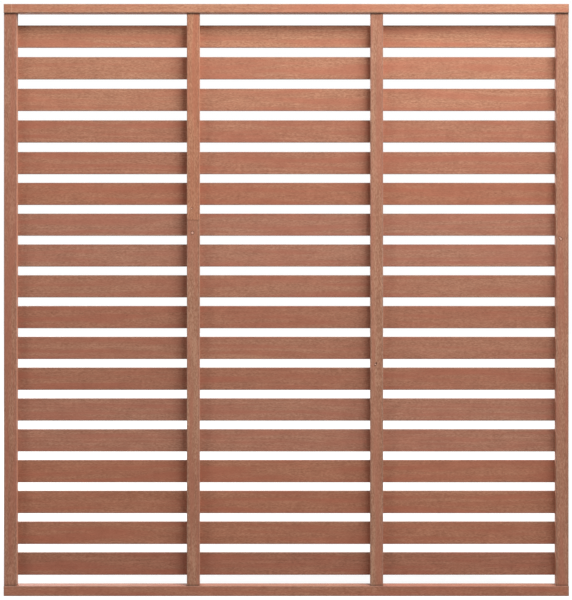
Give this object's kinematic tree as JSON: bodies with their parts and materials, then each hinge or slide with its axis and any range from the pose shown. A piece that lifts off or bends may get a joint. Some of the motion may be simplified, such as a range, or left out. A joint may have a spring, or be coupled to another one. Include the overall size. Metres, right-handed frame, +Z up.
{
  "type": "garden privacy screen",
  "caption": "Framed hardwood garden privacy screen: horizontal slats fixed behind uprights between a top rail and a bottom rail.",
  "frame": {"origin": "middle of the bottom rail's underside, on the surface that the panel stands on", "axes": "+X to the viewer's right across the panel, -Y out of the front, +Z up"},
  "size_m": [1.718, 0.045, 1.8],
  "materials": {
    "rail_wood": "oiled hardwood",
    "stile_wood": "oiled hardwood",
    "slat_wood": "oiled hardwood",
    "brad_steel": "satin",
    "screw_steel": "satin"
  },
  "bodies": {
    "root": {"top_rail": "rail_wood", "bottom_rail": "rail_wood", "left_stile": "stile_wood", "right_stile": "stile_wood", "inner_stile_left": "stile_wood", "inner_stile_right": "stile_wood", "slat_01": "slat_wood", "slat_02": "slat_wood", "slat_03": "slat_wood", "slat_04": "slat_wood", "slat_05": "slat_wood", "slat_06": "slat_wood", "slat_07": "slat_wood", "slat_08": "slat_wood", "slat_09": "slat_wood", "slat_10": "slat_wood", "slat_11": "slat_wood", "slat_12": "slat_wood", "slat_13": "slat_wood", "slat_14": "slat_wood", "slat_15": "slat_wood", "slat_16": "slat_wood", "slat_17": "slat_wood", "slat_18": "slat_wood", "slat_brads_left": "brad_steel", "slat_brads_inner_left": "brad_steel", "slat_brads_inner_right": "brad_steel", "slat_brads_right": "brad_steel", "top_rail_screws": "screw_steel", "bottom_rail_screws": "screw_steel"}
  },
  "joints": []
}
